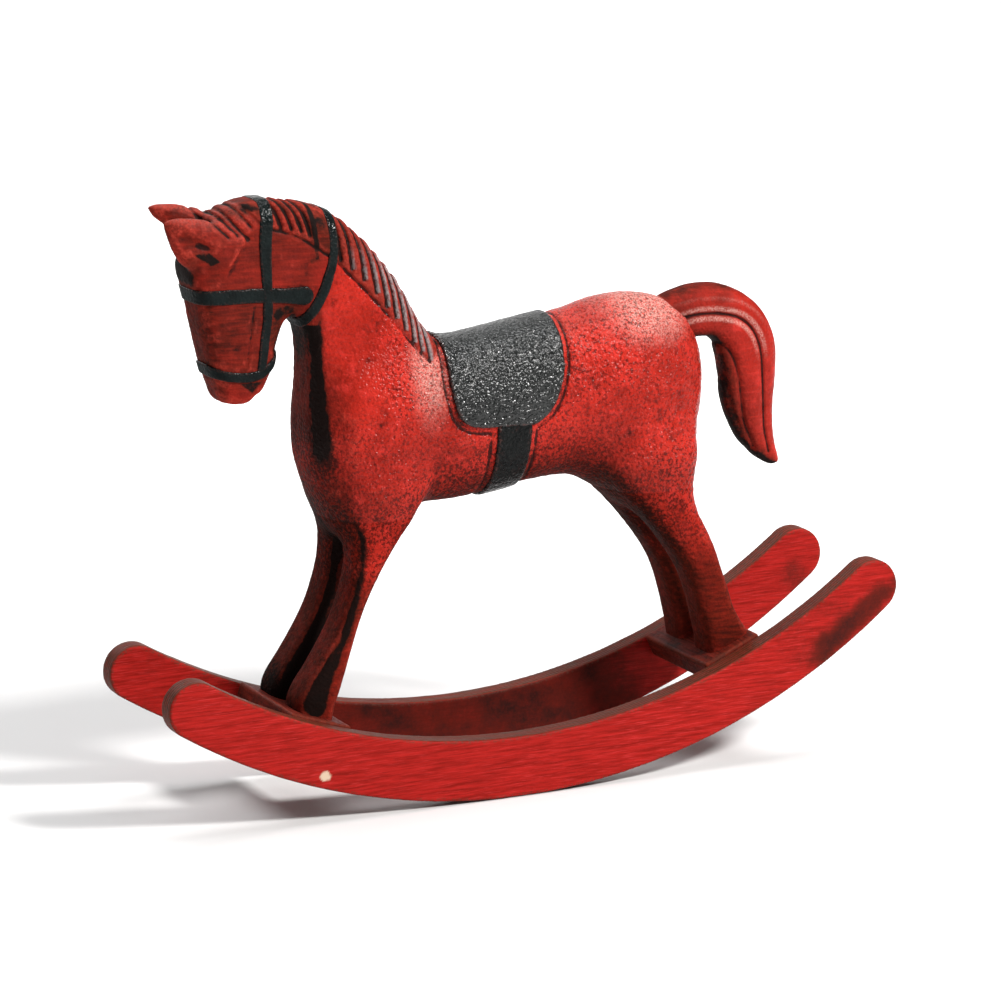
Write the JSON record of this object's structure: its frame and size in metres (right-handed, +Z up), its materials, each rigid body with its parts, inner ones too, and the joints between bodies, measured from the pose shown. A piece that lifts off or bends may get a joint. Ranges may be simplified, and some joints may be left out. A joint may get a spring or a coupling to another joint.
{
  "type": "rocking horse ornament",
  "caption": "Carved and painted wooden horse with saddle and bridle, standing on two curved plywood rockers joined by cross boards, for display on a shelf.",
  "frame": {"origin": "middle of the overall box, on the floor that the rockers stand on", "axes": "+X towards the tail, -X towards the head, -Y towards the horse's left side, +Z up; the horse leans 3.2 degrees forward, as it rests"},
  "size_m": [0.3021, 0.068, 0.2288],
  "materials": {
    "rocker_paint": "crimson paint on birch plywood with fine diagonal brush strokes, brown layered edges, rubbed and chipped",
    "board_paint": "dark red-brown paint, smudged with black",
    "body_paint": "red paint over a coarse pitted ground, black worked into the pits",
    "head_paint": "brick-red streaked paint, black in the carved grooves of mane and ears",
    "leg_paint": "smooth dark red-brown paint, black along the front edges",
    "tail_paint": "red paint with black in the long grooves",
    "saddle_black": "charcoal black paint over the pitted ground, with a grey sheen",
    "strap_black": "glossy green-black straps",
    "bare_wood": "unpainted beech dowel",
    "fixing_steel": "zinc-plated steel"
  },
  "bodies": {
    "root": {"rocker_left": "rocker_paint", "rocker_right": "rocker_paint", "cross_board_front": "board_paint", "cross_board_rear": "board_paint", "body": "body_paint", "head_and_neck": "head_paint", "leg_front_left": "leg_paint", "leg_front_right": "leg_paint", "leg_hind_left": "leg_paint", "leg_hind_right": "leg_paint", "tail": "tail_paint", "saddle": "saddle_black", "girth_strap": "saddle_black", "crown_strap": "strap_black", "brow_band": "strap_black", "noseband": "strap_black", "throat_latch": "strap_black", "neck_dowels": "bare_wood", "leg_dowels": "bare_wood", "tail_dowel": "bare_wood", "hoof_screws": "fixing_steel", "rocker_nails": "fixing_steel"}
  },
  "joints": []
}
